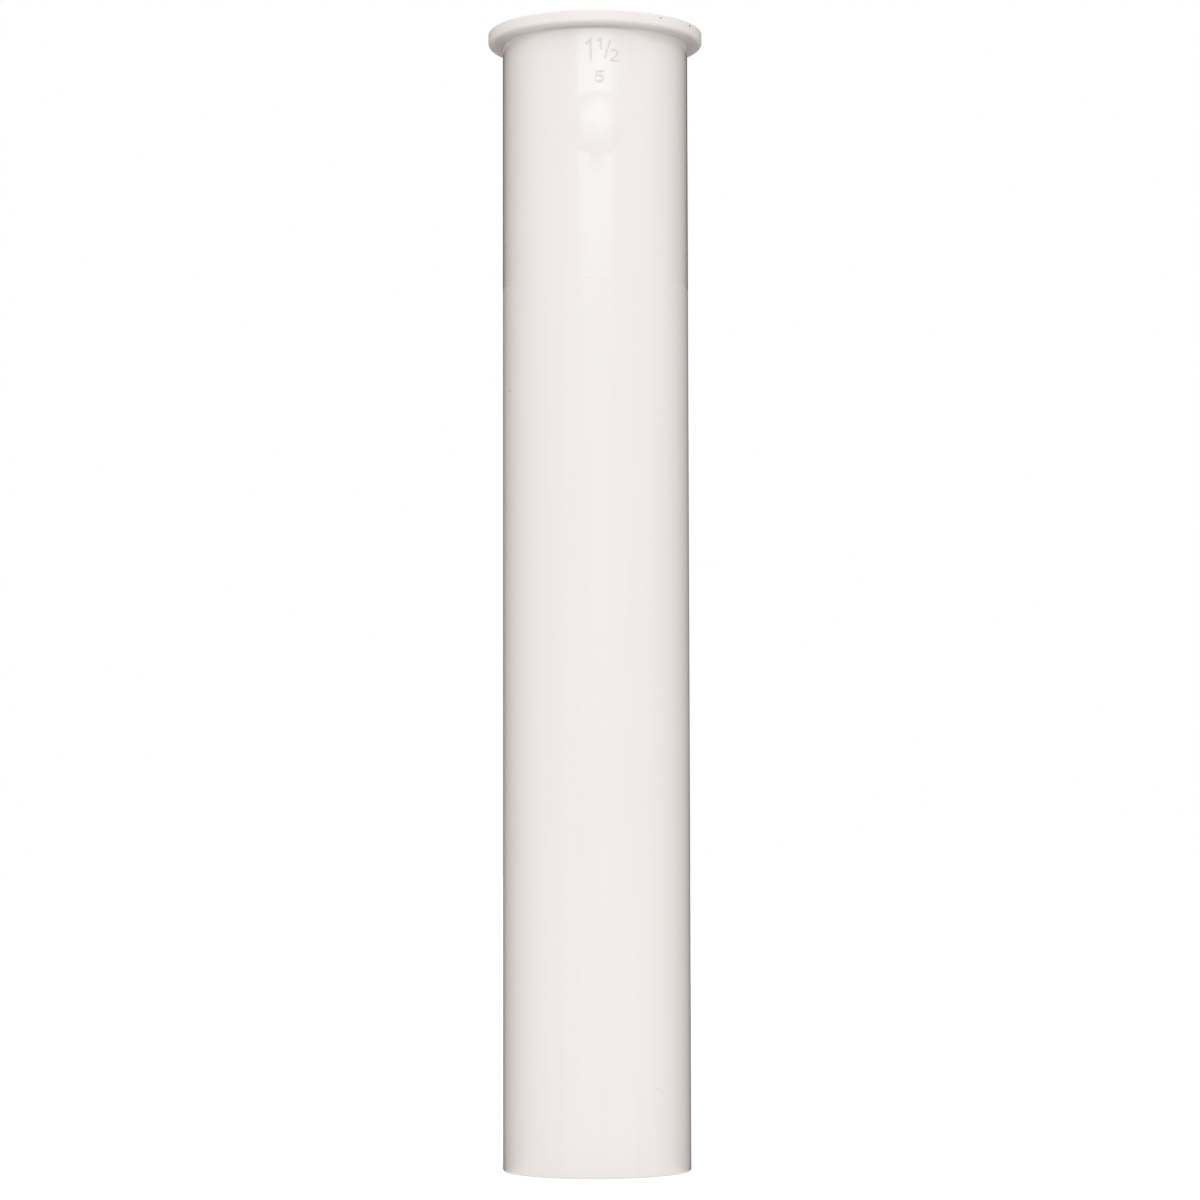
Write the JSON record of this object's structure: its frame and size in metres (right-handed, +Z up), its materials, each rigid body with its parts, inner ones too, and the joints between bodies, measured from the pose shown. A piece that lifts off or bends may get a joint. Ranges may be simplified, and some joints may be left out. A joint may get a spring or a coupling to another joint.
{
  "type": "basin waste tail pipe",
  "caption": "Straight round white plastic pipe with a clamping flange at its top and a plain lower end, leading water from a basin waste down into a trap.",
  "frame": {"origin": "centre of the plain lower end, on the pipe axis; the pipe stands on this end", "axes": "+Z up the pipe axis from the plain end to the flange; the pipe is round, so X and Y are free, and -Y is the side that carries the moulded size numbers"},
  "size_m": [0.0442, 0.0442, 0.233],
  "materials": {
    "white_plastic": "moulded, softly glossy, warm white"
  },
  "bodies": {
    "root": {"tail_pipe": "white_plastic"}
  },
  "joints": []
}
